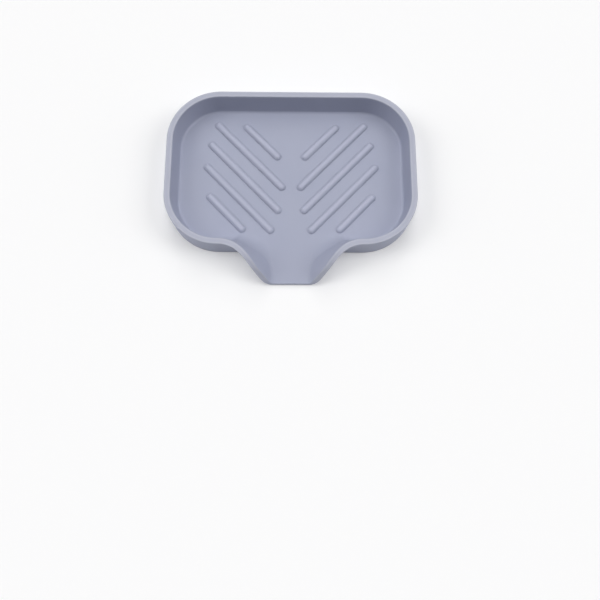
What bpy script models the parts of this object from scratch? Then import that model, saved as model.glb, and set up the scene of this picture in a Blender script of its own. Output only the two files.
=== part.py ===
"""Silicone soap dish: one moulded tray with a drain spout, and the ten raised ribs that carry the soap.

Metres, +Z up. The underside rests on Z = 0, X runs along the dish and the spout points along -Y.
The origin is the middle of the underside, below the middle of the whole outline.
"""
import math

import bmesh
import bpy
from mathutils import Matrix, Vector

# Tray: its outer face leans in by the draft at the foot, where the wall is thicker by the hollow's draft
RIM_LENGTH = 0.130
BODY_DEPTH = 0.0860
SPOUT_REACH = 0.0170
HEIGHT = 0.015
WALL = 0.0032
DRAFT = 0.0008
HOLLOW_DRAFT = 0.0022
CORNER_RADIUS = 0.028
EDGE_RADIUS = 0.0005

# Floor, which falls towards the spout
FLOOR_AT_TIP = 0.0022
FLOOR_FALL = 0.0012
FLOOR_FILLET = 0.0012

# Spout: a trough that is narrow at the foot and flares to the rim, cut off by a ramp with a rounded top.
# At its foot the hollow's draft is less by the channel's relief.
NECK_FOOT_WIDTH = 0.0236
NECK_FOOT_RADIUS = 0.0130
NECK_RIM_WIDTH = 0.0456
NECK_RIM_RADIUS = 0.0138
CHANNEL_RELIEF = 0.0016
NOSE_RADIUS = 0.0138
NOSE_LIP = 0.0004
NOSE_ANGLE = math.radians(57)
TIP_RADIUS = 0.002

# Ribs: parallel bars on both sides of a drain lane, set as chevrons that point at the spout.
# They follow the falling floor and all rise equally above it. Their places are shares of the hollow at
# its rim: of half its length across, and of its depth along.
RIB_RADIUS = 0.0021
RIB_HEIGHT = 0.0013
RIB_SEAT_GAP = 0.0003
FIRST_CHEVRON_SHARE = 0.459
CHEVRON_PITCH_SHARE = 0.193
RIB_RISE_SHARE = 0.818
RIB_OUTER_END_SHARES = (0.391, 0.643, 0.697, 0.731, 0.699)
RIB_INNER_END_SHARES = (0.122, 0.083, 0.114, 0.176, 0.420)

# How far a cutter passes the surface that it opens
OVERRUN = 0.002

# Points as close as this are one point
WELD = 0.00001

# The most of its straight run that the spout's inward curve may take
NECK_ROOM_SHARE = 0.98

# Facets
CORNER_STEPS = 16
NECK_STEPS = 12
NOSE_STEPS = 9
TIP_STEPS = 4
FILLET_STEPS = 4
EDGE_STEPS = 3
RIB_SIDES = 24
RIB_RINGS = 13
SHARP_ANGLE = math.radians(35)
ROUND_PROFILE = 0.5

# Places that follow from the sizes
DEPTH = BODY_DEPTH + SPOUT_REACH
BACK_Y = DEPTH / 2
FRONT_Y = BACK_Y - BODY_DEPTH
TIP_Y = BACK_Y - DEPTH
NOSE_FOOT_Z = FLOOR_AT_TIP + NOSE_LIP
TIP_FOOT_Y = TIP_Y + DRAFT * NOSE_FOOT_Z / HEIGHT
WELL_HALF_LENGTH = RIM_LENGTH / 2 - DRAFT - WALL
WELL_DEPTH = BODY_DEPTH - 2 * (DRAFT + WALL)
WELL_BACK_Y = BACK_Y - DRAFT - WALL
FLOOR_SLOPE = FLOOR_FALL / DEPTH
FLOOR_ANGLE = math.atan(FLOOR_SLOPE)

SILICONE_COLOUR = (0.36, 0.38, 0.46, 1.0)
SILICONE_ROUGHNESS = 0.55


def clear_scene():
    """Remove whatever the file opened with."""
    for obj in list(bpy.data.objects):
        bpy.data.objects.remove(obj, do_unlink=True)


def new_collection(name):
    """Make a collection of the scene."""
    collection = bpy.data.collections.new(name)
    bpy.context.scene.collection.children.link(collection)
    return collection


def silicone(name):
    """Matt blue-grey silicone."""
    material = bpy.data.materials.new(name)
    material.use_nodes = True
    material.diffuse_color = SILICONE_COLOUR
    shader = material.node_tree.nodes["Principled BSDF"]
    shader.inputs["Base Color"].default_value = SILICONE_COLOUR
    shader.inputs["Roughness"].default_value = SILICONE_ROUGHNESS
    shader.inputs["Metallic"].default_value = 0.0
    return material


def object_from_bmesh(name, bm, collection):
    """Turn a bmesh into a named, smooth-shaded object."""
    bmesh.ops.recalc_face_normals(bm, faces=bm.faces)
    mesh = bpy.data.meshes.new(name)
    bm.to_mesh(mesh)
    bm.free()
    mesh.shade_smooth()
    obj = bpy.data.objects.new(name, mesh)
    collection.objects.link(obj)
    return obj


def mark_as_cutter(obj):
    """A cutter only shapes its neighbours."""
    obj.hide_render = True
    obj.display_type = 'WIRE'


def arc(centre_x, centre_y, radius, start, end, steps):
    """Points on an arc, both ends included. Angles are in degrees from +X."""
    points = []
    for i in range(steps + 1):
        angle = math.radians(start + (end - start) * i / steps)
        points.append((centre_x + radius * math.cos(angle), centre_y + radius * math.sin(angle)))
    return points


def half_outline(level, inset, relief, past_tip):
    """Right half of the dish's outline, from the middle of the back to the middle of the spout's tip.

    The level is 0 at the underside and 1 at the rim. The inset is how far inside the outer wall
    the outline runs, the relief is how much less it is at the foot of the spout, and past_tip is
    how far its open end runs out of the spout.
    """
    lean = DRAFT * (1 - level)
    side_x = RIM_LENGTH / 2 - lean
    back_y = BACK_Y - lean
    front_y = FRONT_Y + lean
    corner = CORNER_RADIUS - lean
    neck_x = (NECK_FOOT_WIDTH + (NECK_RIM_WIDTH - NECK_FOOT_WIDTH) * level) / 2
    tip_y = TIP_FOOT_Y - DRAFT * level
    neck_room = NECK_ROOM_SHARE * min(side_x - corner - neck_x, front_y - tip_y - TIP_RADIUS)
    neck = min(NECK_FOOT_RADIUS + (NECK_RIM_RADIUS - NECK_FOOT_RADIUS) * level, neck_room)
    end_y = tip_y - past_tip

    inner_corner = corner - inset
    inner_neck = neck + inset
    channel_x = neck_x - inset + relief * (1 - level)
    points = [(0, back_y - inset)]
    points += arc(side_x - corner, back_y - corner, inner_corner, 90, 0, CORNER_STEPS)
    points += arc(side_x - corner, front_y + corner, inner_corner, 0, -90, CORNER_STEPS)
    points += arc(channel_x + inner_neck, front_y - neck, inner_neck, 90, 180, NECK_STEPS)
    points += arc(channel_x - TIP_RADIUS, end_y + TIP_RADIUS, TIP_RADIUS, 0, -90, TIP_STEPS)
    points.append((0, end_y))
    return points


def rounded_edge(inset, side, height, rise):
    """Inset and height of each point on a quarter round, from its wall to its flat.

    The side is 1 where the flat lies inside the wall and -1 where it lies outside. The rise is 1
    under a top edge and -1 over a bottom edge.
    """
    points = []
    for i in range(EDGE_STEPS + 1):
        angle = math.pi / 2 * i / EDGE_STEPS
        across = EDGE_RADIUS * (1 - math.cos(angle))
        up = EDGE_RADIUS * (1 - math.sin(angle))
        points.append((inset + side * across, height - rise * up))
    return points


def loft(sections, relief, past_tip):
    """Loft outlines, each given by its inset and its height, into a solid that is capped flat.

    Half of it is made, open at X = 0, and mirrored.
    """
    bm = bmesh.new()
    rings = []
    for inset, z in sections:
        outline = half_outline(z / HEIGHT, inset, relief, past_tip)
        rings.append([bm.verts.new((x, y, z)) for x, y in outline])
    for low, high in zip(rings, rings[1:]):
        for i in range(len(low) - 1):
            bm.faces.new((low[i], low[i + 1], high[i + 1], high[i]))
    bm.faces.new(rings[0])
    bm.faces.new(rings[-1])
    half = bm.verts[:] + bm.edges[:] + bm.faces[:]
    bmesh.ops.mirror(bm, geom=half, axis='X', merge_dist=WELD)
    return bm


def cut_flat(bm, point, normal):
    """Drop what lies below a plane, close the cut with one flat face and return its edges."""
    everything = bm.verts[:] + bm.edges[:] + bm.faces[:]
    cut = bmesh.ops.bisect_plane(
        bm, geom=everything, dist=WELD, plane_co=point, plane_no=normal, clear_inner=True,
    )
    rim = [item for item in cut["geom_cut"] if isinstance(item, bmesh.types.BMEdge)]
    bmesh.ops.contextual_create(bm, geom=rim)
    bmesh.ops.recalc_face_normals(bm, faces=bm.faces)
    return rim


def add_cut(obj, cutter):
    """Subtract a cutter."""
    cut = obj.modifiers.new(cutter.name, 'BOOLEAN')
    cut.operation = 'DIFFERENCE'
    cut.solver = 'EXACT'
    cut.object = cutter


def make_well_cutter(collection):
    """The hollow of the tray, down to the falling floor and out through the spout."""
    sections = [(WALL + HOLLOW_DRAFT, 0)]
    sections += rounded_edge(WALL, -1, HEIGHT, 1)
    sections.append((WALL - EDGE_RADIUS, HEIGHT + OVERRUN))
    bm = loft(sections, CHANNEL_RELIEF, TIP_RADIUS + OVERRUN)
    floor_edges = cut_flat(bm, Vector((0, TIP_Y, FLOOR_AT_TIP)), Vector((0, -FLOOR_SLOPE, 1)))
    bmesh.ops.bevel(
        bm, geom=floor_edges, offset=FLOOR_FILLET, offset_type='OFFSET', segments=FILLET_STEPS,
        profile=ROUND_PROFILE, affect='EDGES', clamp_overlap=False,
    )
    well = object_from_bmesh("well_cutter", bm, collection)
    mark_as_cutter(well)
    return well


def nose_profile():
    """Side outline, in Y and Z, of what is cut from above the spout."""
    corner_y = TIP_Y + (HEIGHT - NOSE_FOOT_Z) / math.tan(NOSE_ANGLE)
    blend_y = corner_y + NOSE_RADIUS * math.tan(NOSE_ANGLE / 2)
    blend_end = 90 + math.degrees(NOSE_ANGLE)
    reach = DRAFT + OVERRUN
    profile = arc(blend_y, HEIGHT - NOSE_RADIUS, NOSE_RADIUS, 90, blend_end, NOSE_STEPS)
    profile += [
        (TIP_Y - reach, NOSE_FOOT_Z - reach * math.tan(NOSE_ANGLE)),
        (TIP_Y - reach, HEIGHT + OVERRUN),
        (blend_y, HEIGHT + OVERRUN),
    ]
    return profile


def make_nose_cutter(collection):
    """A bar with the nose profile, across the whole spout."""
    profile = nose_profile()
    curve = bpy.data.curves.new("nose_profile", 'CURVE')
    curve.dimensions = '2D'
    curve.fill_mode = 'BOTH'
    curve.extrude = NECK_RIM_WIDTH
    spline = curve.splines.new('POLY')
    spline.points.add(len(profile) - 1)
    spline.use_cyclic_u = True
    for point, (y, z) in zip(spline.points, profile):
        point.co = (y, z, 0, 1)
    outline = bpy.data.objects.new("nose_profile", curve)
    collection.objects.link(outline)
    # The curve's own X, Y and Z become the dish's Y, Z and X
    outline.matrix_world = Matrix(((0, 0, 1, 0), (1, 0, 0, 0), (0, 1, 0, 0), (0, 0, 0, 1)))
    bpy.context.view_layer.update()

    mesh = bpy.data.meshes.new_from_object(outline.evaluated_get(bpy.context.evaluated_depsgraph_get()))
    bm = bmesh.new()
    bm.from_mesh(mesh)
    bmesh.ops.remove_doubles(bm, verts=bm.verts, dist=WELD)
    nose = object_from_bmesh("nose_cutter", bm, collection)
    nose.matrix_world = outline.matrix_world
    bpy.data.objects.remove(outline, do_unlink=True)
    mark_as_cutter(nose)
    return nose


def make_tray(collection, cutters, material):
    """The one-piece tray: a drafted body, hollowed by the well and trimmed at the spout."""
    sections = rounded_edge(0, 1, 0, -1)[::-1]
    sections += rounded_edge(0, 1, HEIGHT, 1)
    tray = object_from_bmesh("tray", loft(sections, 0, 0), collection)
    tray.data.materials.append(material)
    add_cut(tray, make_well_cutter(cutters))
    add_cut(tray, make_nose_cutter(cutters))
    weld = tray.modifiers.new("weld", 'WELD')
    weld.merge_threshold = WELD
    tray.data.set_sharp_from_angle(angle=SHARP_ANGLE)
    return tray


def make_rib(name, side, index, collection, material):
    """One rib: a round-ended bar that lies along the falling floor and is cut off just above it."""
    ends = []
    for across in (RIB_OUTER_END_SHARES[index], RIB_INNER_END_SHARES[index]):
        along = FIRST_CHEVRON_SHARE + CHEVRON_PITCH_SHARE * index - RIB_RISE_SHARE * across
        ends.append(Vector((side * WELL_HALF_LENGTH * across, WELL_BACK_Y - WELL_DEPTH * along, 0)))
    run = ends[0] - ends[1]
    middle = (ends[0] + ends[1]) / 2

    # An odd count of rings leaves a belt about the middle, which is stretched into the straight run
    belt_share = math.cos(math.pi / 2 / RIB_RINGS)
    bm = bmesh.new()
    bmesh.ops.create_uvsphere(
        bm, u_segments=RIB_SIDES, v_segments=RIB_RINGS, radius=RIB_RADIUS / belt_share,
        matrix=Matrix.Rotation(math.radians(90), 4, 'Y'),
    )
    for vert in bm.verts:
        vert.co.x += math.copysign(run.length / 2, vert.co.x)

    sink = RIB_RADIUS - RIB_HEIGHT
    cut_flat(bm, Vector((0, 0, sink + RIB_SEAT_GAP)), Vector((0, 0, 1)))

    middle.z = FLOOR_AT_TIP + FLOOR_SLOPE * (middle.y - TIP_Y) - sink
    turn = Matrix.Rotation(FLOOR_ANGLE, 4, 'X') @ Matrix.Rotation(math.atan2(run.y, run.x), 4, 'Z')

    rib = object_from_bmesh(name, bm, collection)
    rib.data.materials.append(material)
    rib.data.set_sharp_from_angle(angle=SHARP_ANGLE)
    rib.matrix_world = Matrix.Translation(middle) @ turn
    return rib


def build():
    """Model the whole dish."""
    clear_scene()
    parts = new_collection("silicone_soap_dish")
    cutters = new_collection("cutters")
    root = bpy.data.objects.new("dish_origin", None)
    parts.objects.link(root)

    pieces = [make_tray(parts, cutters, silicone("tray_silicone"))]
    rib_material = silicone("rib_silicone")
    for side, side_name in ((-1, "left"), (1, "right")):
        for index in range(len(RIB_OUTER_END_SHARES)):
            name = f"rib_{side_name}_{index + 1}"
            pieces.append(make_rib(name, side, index, parts, rib_material))
    for piece in pieces:
        piece.parent = root
    bpy.context.view_layer.update()


build()
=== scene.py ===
"""Looks of the silicone soap dish: the moulded tray and its ten ribs, and a pale studio.

Metres, +Z up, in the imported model's own frame. X runs along the dish and the spout points along -Y.
"""
import math

import bmesh
import bpy
from mathutils import Matrix, Vector


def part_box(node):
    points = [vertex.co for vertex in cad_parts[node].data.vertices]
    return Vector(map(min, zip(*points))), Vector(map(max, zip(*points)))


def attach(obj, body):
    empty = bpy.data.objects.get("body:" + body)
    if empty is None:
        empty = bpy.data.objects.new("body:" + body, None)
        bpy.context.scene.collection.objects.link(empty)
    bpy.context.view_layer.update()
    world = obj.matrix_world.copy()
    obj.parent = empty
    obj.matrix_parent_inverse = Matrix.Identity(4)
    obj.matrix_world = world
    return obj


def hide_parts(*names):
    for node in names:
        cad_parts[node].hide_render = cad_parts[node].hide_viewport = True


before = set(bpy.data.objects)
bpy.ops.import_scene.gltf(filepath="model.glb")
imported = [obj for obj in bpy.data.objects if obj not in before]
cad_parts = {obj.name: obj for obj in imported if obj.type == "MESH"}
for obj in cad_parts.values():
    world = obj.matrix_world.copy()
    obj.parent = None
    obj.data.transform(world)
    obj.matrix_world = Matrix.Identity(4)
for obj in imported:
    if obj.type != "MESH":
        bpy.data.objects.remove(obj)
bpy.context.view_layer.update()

tray_low, tray_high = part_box("tray")

# Tray: down to the foot, its outer face leans in by DRAFT and its wall gets thicker by HOLLOW_DRAFT
BODY_DEPTH = 0.0860
WALL = 0.0032
DRAFT = 0.0008
HOLLOW_DRAFT = 0.0022
CORNER_RADIUS = 0.028
EDGE_RADIUS = 0.0005
FLOOR_AT_TIP = 0.0022
FLOOR_FALL = 0.0012
FLOOR_FILLET = 0.0012

# Spout: a trough that flares from foot to rim and is cut off by a ramp with a rounded top. Down to
# the foot, its wall gets thicker by CHANNEL_RELIEF less than the rest of the tray's.
NECK_FOOT_WIDTH = 0.0236
NECK_FOOT_RADIUS = 0.0130
NECK_RIM_WIDTH = 0.0456
NECK_RIM_RADIUS = 0.0138
CHANNEL_RELIEF = 0.0016
NOSE_RADIUS = 0.0138
NOSE_LIP = 0.0004
NOSE_ANGLE = math.radians(57)
TIP_RADIUS = 0.002

# The hollow's fillet at the floor is larger behind the spout's inward curve. The shares of that
# curve are where the larger fillet starts, is full, begins to wane and ends.
NECK_FILLET = 0.0060
NECK_SWELL = (-0.2, 0.15, 0.3, 0.8)

# Ribs: a rib's fillet ends RIB_DIP below the floor, and its root goes RIB_ROOT deeper
RIB_RADIUS = 0.0021
RIB_HEIGHT = 0.0013
RIB_SEAT_GAP = 0.0003
RIB_FILLET = 0.0005
RIB_DIP = 0.000004
RIB_ROOT = 0.0003
RIB_COUNT = 5

# The round of the rim's inner edge takes this share of the height above the floor at most
EDGE_ROOM_SHARE = 0.5

# Width of the outermost row of a flat face, which keeps the face's shading flat
BORDER = 0.0004

# Vertices as close as this are joined
WELD = 0.000001

# Vertex values that set the painted highlights: 1 on the rim's rounded edges and along a rib's
# ridge. Between its edges the rim has a lower band value, and its values fade out over a short
# stretch at the foot of the spout's ramp. A rib's value is the upward part of its surface's normal,
# raised to a power, so a rib is painted paler the more its surface faces up.
RIM_HIGHLIGHT = "rim_highlight"
RIM_HIGHLIGHT_BAND = 0.55
RIM_HIGHLIGHT_FADE = 0.0025
RIDGE_HIGHLIGHT = "ridge_highlight"
RIDGE_HIGHLIGHT_POWER = 3

# Places that follow from the sizes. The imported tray's box ends where the rim's round begins, and
# from there up to the rim's plane the outer face would go out by TOP_LEAN more.
HEIGHT = tray_high.z - tray_low.z
TOP_LEAN = DRAFT * EDGE_RADIUS / HEIGHT
HALF_LENGTH = tray_high.x + TOP_LEAN
BACK_Y = tray_high.y + TOP_LEAN
FRONT_Y = BACK_Y - BODY_DEPTH
TIP_Y = tray_low.y
NOSE_FOOT_Z = FLOOR_AT_TIP + NOSE_LIP
TIP_FOOT_Y = TIP_Y + DRAFT * NOSE_FOOT_Z / HEIGHT
FLOOR_SLOPE = FLOOR_FALL / (BACK_Y - TIP_Y)
RIB_SINK = RIB_RADIUS - RIB_HEIGHT

# Mesh steps round the tray, in the order of its outline
BACK_STEPS = 10
CORNER_STEPS = 28
SIDE_STEPS = 10
FRONT_STEPS = 2
NECK_STEPS = 36
SPOUT_STEPS = 18
TIP_STEPS = 8
MOUTH_STEPS = 6

# Mesh steps across its rim and down its faces
BAND_STEPS = 4
EDGE_STEPS = 5
WALL_STEPS = 4
FILLET_STEPS = 9

# Mesh steps of a rib
RIB_END_STEPS = 16
RIB_RUN_STEPS = 12
RIB_FILLET_STEPS = 5
RIB_TOP_STEPS = 9

# Steps of the searches for a point on the falling floor and for one under the rim
SETTLE_STEPS = 4
HALVINGS = 40

# Camera, fitted to the dish's own outline in the photograph
CAMERA_PLACE = Vector((0.000898, -0.150188, 0.336689))
CAMERA_PITCH = math.radians(74.884)
CAMERA_YAW = math.radians(2.514)
CAMERA_ROLL = math.radians(2.696)
FOCAL_PIXELS = 681.69
IMAGE_PIXELS = 600
SENSOR = 36.0

# Studio: the ground lies just under the dish, and GROUND_GLOW is its share of plain white where it
# is seen. The backdrop is seen in place of the sky, which lights the dish.
GROUND_SIZE = 6.0
GROUND_DROP = 0.00002
GROUND_COLOUR = (0.97, 0.97, 0.975, 1.0)
GROUND_GLOW = 0.18
BACKDROP_COLOUR = (0.966, 0.968, 0.972, 1.0)
SKY_COLOUR = (1.0, 1.0, 1.0, 1.0)
SKY_STRENGTH = 0.124
LAMP_SPREAD = math.radians(30)

# Each soft lamp's strength, and its tilt in degrees from straight above about X and Y
LAMPS = {
    "above": (0.581, 0, 0),
    "behind": (0.454, -25, 0),
    "low_behind": (0.498, -50, 0),
    "left": (0.825, 0, -45),
    "right": (0.825, 0, 45),
    "low_left": (0.319, 0, -68),
    "low_right": (0.319, 0, 68),
}

# Silicone: clouds of the first two colours. The last two are painted highlights, laid in patches on
# the rim and along the ribs' ridges. The patches' strength runs from PATCH_LOW to 1.
SILICONE_COLOUR = (0.340, 0.363, 0.473, 1.0)
PALE_COLOUR = (0.373, 0.393, 0.496, 1.0)
RIM_HIGHLIGHT_COLOUR = (0.470, 0.479, 0.555, 1.0)
RIDGE_HIGHLIGHT_COLOUR = (0.436, 0.453, 0.570, 1.0)
PATCH_LOW = 0.7
SILICONE_IOR = 1.41
ROUGHNESS_LOW = 0.46
ROUGHNESS_HIGH = 0.62
GRAIN_STRENGTH = 0.25
GRAIN_DEPTH = 0.00003

# Scale and detail of each noise in the silicone
CLOUD_NOISE = (45.0, 3.0)
PATCH_NOISE = (160.0, 2.0)
GRAIN_NOISE = (5200.0, 2.0)


def arc(centre_x, centre_y, radius, start, end, steps):
    """Points on an arc, both ends included. Angles are in degrees from +X."""
    points = []
    for i in range(steps + 1):
        angle = math.radians(start + (end - start) * i / steps)
        x = centre_x + radius * math.cos(angle)
        y = centre_y + radius * math.sin(angle)
        points.append(Vector((x, y)))
    return points


def between(start, end, steps):
    """Points that split a straight run, both ends left out."""
    return [start.lerp(end, i / steps) for i in range(1, steps)]


def rounded(start, corner, end, steps):
    """Points of a round from start to end inside a corner, both ends left out.

    Where both sides of the corner are as long, the round is an arc of a circle.
    """
    turn = (corner - start).normalized().dot((end - corner).normalized())
    pull = math.sqrt((1 + turn) / 2)
    points = []
    for i in range(1, steps):
        t = i / steps
        weights = ((1 - t) ** 2, 2 * t * (1 - t) * pull, t ** 2)
        total = start * weights[0] + corner * weights[1] + end * weights[2]
        points.append(total / sum(weights))
    return points


def spout_edge(level):
    """X of the spout's side and Y of its tip, at a level from 0 at the foot to 1 at the rim."""
    width = NECK_FOOT_WIDTH + (NECK_RIM_WIDTH - NECK_FOOT_WIDTH) * level
    return width / 2, TIP_FOOT_Y - DRAFT * level


def side_outline(level, inset):
    """Right half of the outline, from the middle of the back to where the tip's corner begins."""
    lean = DRAFT * (1 - level)
    corner = CORNER_RADIUS - lean
    corner_x = HALF_LENGTH - lean - corner
    back_y = BACK_Y - lean
    front_y = FRONT_Y + lean
    neck = NECK_FOOT_RADIUS + (NECK_RIM_RADIUS - NECK_FOOT_RADIUS) * level
    neck_x, tip_y = spout_edge(level)

    back = arc(corner_x, back_y - corner, corner - inset, 90, 0, CORNER_STEPS)
    front = arc(corner_x, front_y + corner, corner - inset, 0, -90, CORNER_STEPS)
    spout = arc(neck_x + neck, front_y - neck, neck + inset, 90, 180, NECK_STEPS)
    middle = Vector((0, back_y - inset))
    tip = Vector((neck_x - inset, tip_y + TIP_RADIUS))
    points = [middle] + between(middle, back[0], BACK_STEPS) + back
    points += between(back[-1], front[0], SIDE_STEPS) + front
    points += between(front[-1], spout[0], FRONT_STEPS) + spout
    points += between(spout[-1], tip, SPOUT_STEPS) + [tip]
    return points


def outer_tip(level):
    """The rounded plan corner of the spout's tip, without its first point."""
    neck_x, tip_y = spout_edge(level)
    return arc(neck_x - TIP_RADIUS, tip_y + TIP_RADIUS, TIP_RADIUS, 0, -90, TIP_STEPS)[1:]


def inner_tip(level):
    """The channel's side as it runs on to the front edge's round, beside the tip's corner."""
    neck_x, tip_y = spout_edge(level)
    start = Vector((neck_x, tip_y + TIP_RADIUS))
    end = Vector((neck_x, tip_y + EDGE_RADIUS))
    return between(start, end, TIP_STEPS) + [end]


def swell(along):
    """How full the larger fillet is at a share of its curve: from 0 smoothly to 1 and back."""
    start, full, wane, end = NECK_SWELL
    share = min((along - start) / (full - start), (end - along) / (end - wane), 1)
    return math.sin(math.pi / 2 * max(share, 0)) ** 2


class Station:
    """One upright line of the wall: its plan points at the foot and the rim, and its inward normal.

    The relief is how much less the hollow's draft is there, across the dish, and the fillet is the
    hollow's round at the floor.
    """

    def __init__(self, foot, rim, normal, relief, fillet):
        self.foot = foot
        self.rim = rim
        self.normal = normal
        self.relief = relief
        self.fillet = fillet

    def at(self, z, inset):
        """The point at a height and at an inset from the outer face."""
        plan = self.foot.lerp(self.rim, z / HEIGHT) + self.normal * inset
        return Vector((plan.x, plan.y, z))


def make_stations():
    """Stations of the outer face and of the hollow, which differ only beside the tip."""
    feet, rims = side_outline(0, 0), side_outline(1, 0)
    inset = side_outline(0, WALL)
    channel_start = len(feet) - SPOUT_STEPS - NECK_STEPS - 1
    shared = []
    for i, (foot, rim, inner) in enumerate(zip(feet, rims, inset)):
        relief = CHANNEL_RELIEF if i >= channel_start else 0
        fullness = swell((i - channel_start) / NECK_STEPS)
        fillet = FLOOR_FILLET + (NECK_FILLET - FLOOR_FILLET) * fullness
        shared.append(Station(foot, rim, (inner - foot) / WALL, relief, fillet))
    outer = []
    for i, (foot, rim) in enumerate(zip(outer_tip(0), outer_tip(1))):
        angle = math.radians(90 * (i + 1) / TIP_STEPS)
        normal = Vector((-math.cos(angle), math.sin(angle)))
        outer.append(Station(foot, rim, normal, 0, FLOOR_FILLET))
    hollow = []
    for foot, rim in zip(inner_tip(0), inner_tip(1)):
        hollow.append(Station(foot, rim, Vector((-1, 0)), CHANNEL_RELIEF, FLOOR_FILLET))
    return shared + outer, shared + hollow


def floor_z(y):
    """Height of the floor, which falls towards the spout."""
    return FLOOR_AT_TIP + FLOOR_SLOPE * (y - TIP_Y)


def rim_z(y):
    """Height of the rim: level over the body, then round and down the spout's ramp."""
    corner_y = TIP_Y + (HEIGHT - NOSE_FOOT_Z) / math.tan(NOSE_ANGLE)
    blend_y = corner_y + NOSE_RADIUS * math.tan(NOSE_ANGLE / 2)
    if y >= blend_y:
        return HEIGHT
    if y >= blend_y - NOSE_RADIUS * math.sin(NOSE_ANGLE):
        return HEIGHT - NOSE_RADIUS + math.sqrt(NOSE_RADIUS ** 2 - (blend_y - y) ** 2)
    return NOSE_FOOT_Z + (y - TIP_Y) * math.tan(NOSE_ANGLE)


def on_rim(plan):
    """Lift a plan point onto the rim's surface."""
    return Vector((plan.x, plan.y, rim_z(plan.y)))


def trim(point_at, top):
    """The highest place below the rim's surface on a line, which point_at gives by its height."""
    low, high = 0.0, top
    if point_at(high).z <= rim_z(point_at(high).y):
        return high
    for _ in range(HALVINGS):
        middle = (low + high) / 2
        point = point_at(middle)
        if point.z < rim_z(point.y):
            low = middle
        else:
            high = middle
    return low


def side_point(station, rise, reach):
    """A point at a rise above the floor and at a reach inside the hollow's leaning side."""
    z = FLOOR_AT_TIP
    for _ in range(SETTLE_STEPS):
        depth = 1 - z / HEIGHT
        point = station.at(z, WALL + HOLLOW_DRAFT * depth + reach)
        point.x += station.relief * depth
        z = floor_z(point.y) + rise
    return Vector((point.x, point.y, z))


def hollow_point(station, rise):
    """A point of the hollow's side at a rise above the floor, with the fillet at its foot."""
    sag = max(station.fillet - rise, 0)
    return side_point(station, rise, station.fillet - math.sqrt(station.fillet ** 2 - sag ** 2))


def hollow_rises(top, fillet):
    """Rises of the rows from the top of the hollow's side down to the floor.

    Where the wall above the fillet is high, the wall and the fillet have rows of their own. As the
    wall gets lower than the fillet's radius, the rows turn even along both.
    """
    wall = max(top - fillet, 0)
    bend = fillet * math.acos(1 - min(top / fillet, 1))
    full_bend = fillet * math.pi / 2
    apart = min(wall / fillet, 1)
    steps = WALL_STEPS + FILLET_STEPS
    rises = []
    for i in range(1, steps + 1):
        even = (wall + bend) * (1 - i / steps)
        if i <= WALL_STEPS:
            split = bend + wall * (1 - i / WALL_STEPS)
        else:
            split = bend * (steps - i) / FILLET_STEPS
        length = even + (split - even) * apart
        if length > full_bend:
            rises.append(fillet + length - full_bend)
        else:
            rises.append(fillet * (1 - math.cos(length / fillet)))
    return rises


def strip(bm, first, second):
    """Quads between two rows of as many vertices."""
    for i in range(len(first) - 1):
        bm.faces.new((first[i], first[i + 1], second[i + 1], second[i]))


def sheet(bm, rows):
    """Quads over a grid of rows of points, whose vertices are returned row by row."""
    grid = [[bm.verts.new(point) for point in row] for row in rows]
    for first, second in zip(grid, grid[1:]):
        strip(bm, first, second)
    return grid


def top_column(outer, hollow):
    """The outer edge's corner, and the points from its round across the rim down to the floor."""
    corner = outer.at(trim(lambda z: outer.at(z, 0), HEIGHT), 0)
    edge = on_rim(corner.xy + outer.normal * EDGE_RADIUS)
    edge = corner + (edge - corner).normalized() * EDGE_RADIUS

    top = trim(lambda rise: hollow_point(hollow, rise), HEIGHT)
    inner = hollow_point(hollow, top)
    radius = min(EDGE_RADIUS, EDGE_ROOM_SHARE * top)
    brink = on_rim(inner.xy - hollow.normal * radius)
    below = hollow_point(hollow, top - radius)

    points = [edge]
    points += [on_rim(plan) for plan in between(edge.xy, brink.xy, BAND_STEPS)]
    points += [brink] + rounded(brink, inner, below, EDGE_STEPS) + [below]
    points += [hollow_point(hollow, rise) for rise in hollow_rises(top - radius, hollow.fillet)]
    points.append(side_point(hollow, 0, hollow.fillet + BORDER))
    return corner, points


def outer_column(foot, normal, corner, edge):
    """Points from the rim's round down the outer face, round the foot and under it."""
    foot_point = Vector((foot.x, foot.y, 0))
    down = (foot_point - corner).normalized()
    shoulder = corner + down * EDGE_RADIUS
    ankle = foot_point - down * EDGE_RADIUS
    inward = Vector((normal.x, normal.y, 0))
    toe = foot_point + inward * EDGE_RADIUS
    points = rounded(edge, corner, shoulder, EDGE_STEPS) + [shoulder]
    points += between(shoulder, ankle, WALL_STEPS) + [ankle]
    points += rounded(ankle, foot_point, toe, EDGE_STEPS) + [toe]
    points.append(toe + inward * BORDER)
    return points


def close_floor(bm, top):
    """Add the floor, with a strip along its front edge, and return that edge's vertices."""
    mouth = []
    for column in (top[-2], top[-1]):
        end = column[-1]
        middle = Vector((0, end.co.y, end.co.z))
        row = [bm.verts.new(point) for point in between(end.co, middle, MOUTH_STEPS) + [middle]]
        mouth.append([end] + row)
    strip(bm, mouth[0], mouth[1])
    bm.faces.new([column[-1] for column in top[:-2]] + mouth[0])
    return top[-1][1:] + mouth[1][1:]


def rim_places(stations, corners, top, front):
    """Foot, inward normal, corner and the round's first vertex of each place round the dish."""
    places = []
    for station, corner, column in zip(stations, corners, top):
        places.append((station.foot, station.normal, corner, column[0]))
    foot_share = stations[-1].foot.x / corners[-1].x
    for vert in front:
        z = min(vert.co.z - FLOOR_SLOPE * EDGE_RADIUS, NOSE_FOOT_Z)
        corner = Vector((vert.co.x, TIP_FOOT_Y - DRAFT * z / HEIGHT, z))
        foot = Vector((vert.co.x * foot_share, TIP_FOOT_Y))
        places.append((foot, Vector((0, 1)), corner, vert))
    return places


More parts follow.
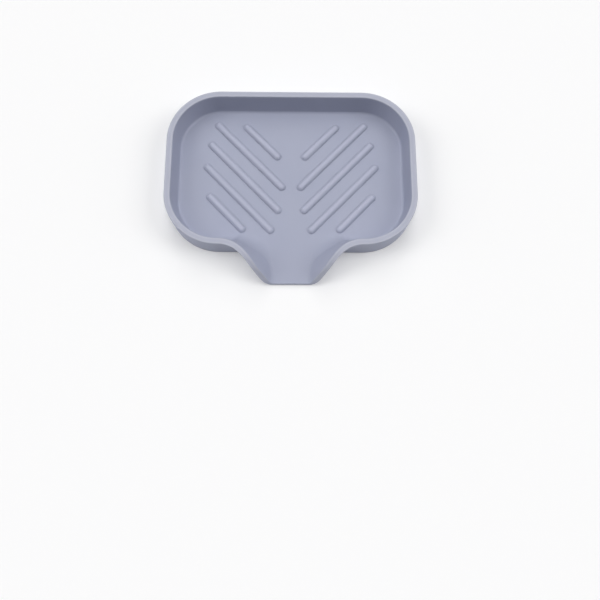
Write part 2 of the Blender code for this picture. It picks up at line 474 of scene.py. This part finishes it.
def close_outside(bm, places):
    """Add the outer face and the underside, and return their columns of vertices."""
    rows = []
    for foot, normal, corner, vert in places:
        rows.append(outer_column(foot, normal, corner, vert.co))
    skirt = sheet(bm, rows)
    for i in range(len(places) - 1):
        first, second = places[i][-1], places[i + 1][-1]
        bm.faces.new((first, second, skirt[i + 1][0], skirt[i][0]))
    bm.faces.new([column[-1] for column in skirt])
    return skirt


def fade_rim_highlight(columns, shares, rim_highlight):
    """Set the painted highlight values of each column's first vertices, which fade out down the
    spout's ramp.
    """
    for column in columns:
        for vert, share in zip(column, shares):
            vert[rim_highlight] = share * min(max(vert.co.z - NOSE_FOOT_Z, 0) / RIM_HIGHLIGHT_FADE, 1)


def tray_bmesh():
    """The whole tray: half of it from its rim in and out, then mirrored."""
    bm = bmesh.new()
    rim_highlight = bm.verts.layers.float.new(RIM_HIGHLIGHT)
    outer, hollow = make_stations()
    corners = []
    columns = []
    for outer_station, hollow_station in zip(outer, hollow):
        corner, points = top_column(outer_station, hollow_station)
        corners.append(corner)
        columns.append(points)
    top = sheet(bm, columns)
    front = close_floor(bm, top)
    skirt = close_outside(bm, rim_places(outer, corners, top, front))

    # Painted highlight on the rim: full at its edges, lower across its flat band, falling off round
    # each edge
    band = [1] + [RIM_HIGHLIGHT_BAND] * (BAND_STEPS - 1)
    fall = [1 - i / EDGE_STEPS for i in range(EDGE_STEPS)]
    fade_rim_highlight(top, band + fall, rim_highlight)
    fade_rim_highlight(skirt, fall[1:], rim_highlight)

    for vert in bm.verts:
        if abs(vert.co.x) < WELD:
            vert.co.x = 0
    half = bm.verts[:] + bm.edges[:] + bm.faces[:]
    bmesh.ops.mirror(bm, geom=half, axis='X', merge_dist=WELD)
    return bm


def rib_line(name):
    """Outer and inner end of a rib's centre line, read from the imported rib's box."""
    low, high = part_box(name)
    reach = math.sqrt(RIB_RADIUS ** 2 - (RIB_SINK + RIB_SEAT_GAP) ** 2)
    if low.x < 0:
        return Vector((low.x + reach, high.y - reach)), Vector((high.x - reach, low.y + reach))
    return Vector((high.x - reach, high.y - reach)), Vector((low.x + reach, low.y + reach))


def rib_profile(y):
    """Distance from the centre line, height and painted highlight value of a rib's rows, from foot to
    ridge.
    """
    foot_z = floor_z(y) - RIB_DIP
    centre_z = floor_z(y) - RIB_SINK
    fillet_z = foot_z + RIB_FILLET
    drop = centre_z - fillet_z
    spread = math.sqrt((RIB_RADIUS + RIB_FILLET) ** 2 - drop ** 2)
    # The fillet's circle touches the top's circle on the line between their centres
    touch = math.atan2(-drop, spread)
    points = [(spread, foot_z - RIB_ROOT, 0)]
    for i in range(RIB_FILLET_STEPS + 1):
        angle = (touch + math.pi / 2) * i / RIB_FILLET_STEPS
        distance = spread - RIB_FILLET * math.sin(angle)
        points.append((distance, fillet_z - RIB_FILLET * math.cos(angle), 0))
    for i in range(1, RIB_TOP_STEPS + 1):
        angle = touch + (math.pi / 2 - touch) * i / RIB_TOP_STEPS
        rise = math.sin(angle)
        height = centre_z + RIB_RADIUS * rise
        # The painted highlight is paler the more the rib's surface faces up
        points.append((RIB_RADIUS * math.cos(angle), height, rise ** RIDGE_HIGHLIGHT_POWER))
    return points


def rib_bmesh(name):
    """One rib: a low round-ended bar along the floor, with a fillet round its foot."""
    outer, inner = rib_line(name)
    along = (inner - outer).normalized()
    across = Vector((-along.y, along.x))

    # Each column starts on the centre line and goes out in one direction
    columns = []
    for start, end, facing in ((outer, inner, across), (inner, outer, -across)):
        for point in [start] + between(start, end, RIB_RUN_STEPS):
            columns.append((point, facing))
        for i in range(RIB_END_STEPS):
            turn = Matrix.Rotation(-math.pi * i / RIB_END_STEPS, 2)
            columns.append((end, turn @ facing))
    bm = bmesh.new()
    # Painted highlight along the ridge, where the rib's surface faces up
    ridge_highlight = bm.verts.layers.float.new(RIDGE_HIGHLIGHT)
    grid = []
    for point, facing in columns:
        column = []
        for distance, height, value in rib_profile(point.y):
            plan = point + facing * distance
            vert = bm.verts.new((plan.x, plan.y, height))
            vert[ridge_highlight] = value
            column.append(vert)
        grid.append(column)
    for i, column in enumerate(grid):
        strip(bm, column, grid[(i + 1) % len(grid)])
    bm.faces.new([column[0] for column in grid])
    bmesh.ops.remove_doubles(bm, verts=bm.verts, dist=WELD)
    return bm


def piece(name, bm, node, material):
    """Turn a bmesh into a smooth-shaded piece that stands for a CAD node."""
    bmesh.ops.recalc_face_normals(bm, faces=bm.faces)
    mesh = bpy.data.meshes.new(name)
    bm.to_mesh(mesh)
    bm.free()
    mesh.shade_smooth()
    mesh.materials.append(material)
    obj = bpy.data.objects.new(name, mesh)
    bpy.context.scene.collection.objects.link(obj)
    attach(obj, "root")
    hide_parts(node)


def noise(tree, place, scale, detail):
    """Output of a noise that keeps its place on the piece."""
    node = tree.nodes.new("ShaderNodeTexNoise")
    node.inputs["Scale"].default_value = scale
    node.inputs["Detail"].default_value = detail
    tree.links.new(place, node.inputs["Vector"])
    return node.outputs["Fac"]


def stretched(tree, value, low, high):
    """Output of a value from 0 to 1 that is stretched to run from low to high."""
    node = tree.nodes.new("ShaderNodeMapRange")
    node.inputs["To Min"].default_value = low
    node.inputs["To Max"].default_value = high
    tree.links.new(value, node.inputs["Value"])
    return node.outputs["Result"]


def colour_mix(tree, share, tone):
    """A mix of its first colour, which is still to be given, with a share of a tone."""
    mix = tree.nodes.new("ShaderNodeMix")
    mix.data_type = 'RGBA'
    mix.inputs["B"].default_value = tone
    tree.links.new(share, mix.inputs["Factor"])
    return mix


def tinted(tree, base, name, patches, tone):
    """Output of a base colour, tinted with a patchy tone where the named vertex value is high."""
    value = tree.nodes.new("ShaderNodeAttribute")
    value.attribute_name = name
    share = tree.nodes.new("ShaderNodeMath")
    share.operation = 'MULTIPLY'
    tree.links.new(value.outputs["Fac"], share.inputs[0])
    tree.links.new(patches, share.inputs[1])
    mix = colour_mix(tree, share.outputs["Value"], tone)
    tree.links.new(base, mix.inputs["A"])
    return mix.outputs["Result"]


def silicone():
    """Matt moulded silicone: a fine grain, soft cloudy unevenness, and painted highlights on the rim
    and the ribs' ridges.
    """
    material = bpy.data.materials.new("silicone")
    material.use_nodes = True
    tree = material.node_tree
    shader = tree.nodes["Principled BSDF"]
    shader.inputs["IOR"].default_value = SILICONE_IOR
    place = tree.nodes.new("ShaderNodeTexCoord").outputs["Object"]
    unevenness = noise(tree, place, *PATCH_NOISE)

    clouds = colour_mix(tree, noise(tree, place, *CLOUD_NOISE), PALE_COLOUR)
    clouds.inputs["A"].default_value = SILICONE_COLOUR
    patches = stretched(tree, unevenness, PATCH_LOW, 1.0)
    # Painted highlights: paler patches on the rim and along the ribs' ridges
    colour = tinted(tree, clouds.outputs["Result"], RIM_HIGHLIGHT, patches, RIM_HIGHLIGHT_COLOUR)
    colour = tinted(tree, colour, RIDGE_HIGHLIGHT, patches, RIDGE_HIGHLIGHT_COLOUR)
    tree.links.new(colour, shader.inputs["Base Color"])

    roughness = stretched(tree, unevenness, ROUGHNESS_LOW, ROUGHNESS_HIGH)
    tree.links.new(roughness, shader.inputs["Roughness"])

    grain = tree.nodes.new("ShaderNodeBump")
    grain.inputs["Strength"].default_value = GRAIN_STRENGTH
    grain.inputs["Distance"].default_value = GRAIN_DEPTH
    tree.links.new(noise(tree, place, *GRAIN_NOISE), grain.inputs["Height"])
    tree.links.new(grain.outputs["Normal"], shader.inputs["Normal"])
    return material


def make_dish():
    """The tray and the ten ribs, all of one silicone."""
    material = silicone()
    piece("moulded_tray", tray_bmesh(), "tray", material)
    for side in ("left", "right"):
        for number in range(1, RIB_COUNT + 1):
            node = f"rib_{side}_{number}"
            piece(f"moulded_{node}", rib_bmesh(node), node, material)


def background_rays(tree):
    """Output that is 1 for camera, glossy and transmission rays, which show the background."""
    rays = tree.nodes.new("ShaderNodeLightPath")
    shown = rays.outputs["Is Camera Ray"]
    for kind in ("Is Glossy Ray", "Is Transmission Ray"):
        either = tree.nodes.new("ShaderNodeMath")
        either.operation = 'MAXIMUM'
        tree.links.new(shown, either.inputs[0])
        tree.links.new(rays.outputs[kind], either.inputs[1])
        shown = either.outputs["Value"]
    return shown


def ground_material():
    """Matt white paper that looks a little brighter than it is lit, as in an airy photograph."""
    material = bpy.data.materials.new("ground")
    material.use_nodes = True
    nodes = material.node_tree.nodes
    links = material.node_tree.links
    shader = nodes["Principled BSDF"]
    shader.inputs["Base Color"].default_value = GROUND_COLOUR
    shader.inputs["Roughness"].default_value = 1.0
    shader.inputs["Specular IOR Level"].default_value = 0.0
    share = nodes.new("ShaderNodeMath")
    share.operation = 'MULTIPLY'
    share.inputs[1].default_value = GROUND_GLOW
    white = nodes.new("ShaderNodeEmission")
    mix = nodes.new("ShaderNodeMixShader")
    links.new(background_rays(material.node_tree), share.inputs[0])
    links.new(share.outputs["Value"], mix.inputs["Fac"])
    links.new(shader.outputs["BSDF"], mix.inputs[1])
    links.new(white.outputs["Emission"], mix.inputs[2])
    links.new(mix.outputs["Shader"], nodes["Material Output"].inputs["Surface"])
    return material


def make_ground():
    """The pale floor that the dish stands on."""
    half = GROUND_SIZE / 2
    bm = bmesh.new()
    bmesh.ops.create_grid(bm, x_segments=1, y_segments=1, size=half)
    mesh = bpy.data.meshes.new("ground")
    bm.to_mesh(mesh)
    bm.free()
    mesh.materials.append(ground_material())
    ground = bpy.data.objects.new("ground", mesh)
    ground.location.z = -GROUND_DROP
    bpy.context.scene.collection.objects.link(ground)


def make_world():
    """An even sky that lights the dish, and the pale backdrop that is seen in its place."""
    world = bpy.data.worlds.new("studio")
    bpy.context.scene.world = world
    world.use_nodes = True
    nodes = world.node_tree.nodes
    links = world.node_tree.links
    sky = nodes["Background"]
    sky.inputs["Color"].default_value = SKY_COLOUR
    sky.inputs["Strength"].default_value = SKY_STRENGTH
    backdrop = nodes.new("ShaderNodeBackground")
    backdrop.inputs["Color"].default_value = BACKDROP_COLOUR
    pick = nodes.new("ShaderNodeMixShader")
    links.new(background_rays(world.node_tree), pick.inputs["Fac"])
    links.new(sky.outputs["Background"], pick.inputs[1])
    links.new(backdrop.outputs["Background"], pick.inputs[2])
    links.new(pick.outputs["Shader"], nodes["World Output"].inputs["Surface"])


def make_lamps():
    """Soft lamps above, behind and on both sides."""
    for name, (strength, tilt_x, tilt_y) in LAMPS.items():
        lamp = bpy.data.lights.new(name, 'SUN')
        lamp.energy = strength
        lamp.angle = LAMP_SPREAD
        holder = bpy.data.objects.new(name, lamp)
        holder.rotation_euler = (math.radians(tilt_x), math.radians(tilt_y), 0)
        bpy.context.scene.collection.objects.link(holder)


def make_camera():
    """The camera at the photograph's place and angle."""
    data = bpy.data.cameras.new("camera")
    data.sensor_width = SENSOR
    data.lens = FOCAL_PIXELS * SENSOR / IMAGE_PIXELS
    camera = bpy.data.objects.new("camera", data)
    place = Matrix.Translation(CAMERA_PLACE)
    tilt = Matrix.Rotation(math.pi / 2 - CAMERA_PITCH, 4, 'X')
    turn = Matrix.Rotation(-CAMERA_YAW, 4, 'Z') @ tilt
    camera.matrix_world = place @ turn @ Matrix.Rotation(CAMERA_ROLL, 4, 'Z')
    bpy.context.scene.collection.objects.link(camera)
    bpy.context.scene.camera = camera


make_camera()
make_world()
make_lamps()
make_ground()
make_dish()
bpy.context.scene.view_settings.view_transform = 'Standard'

bpy.context.view_layer.update()
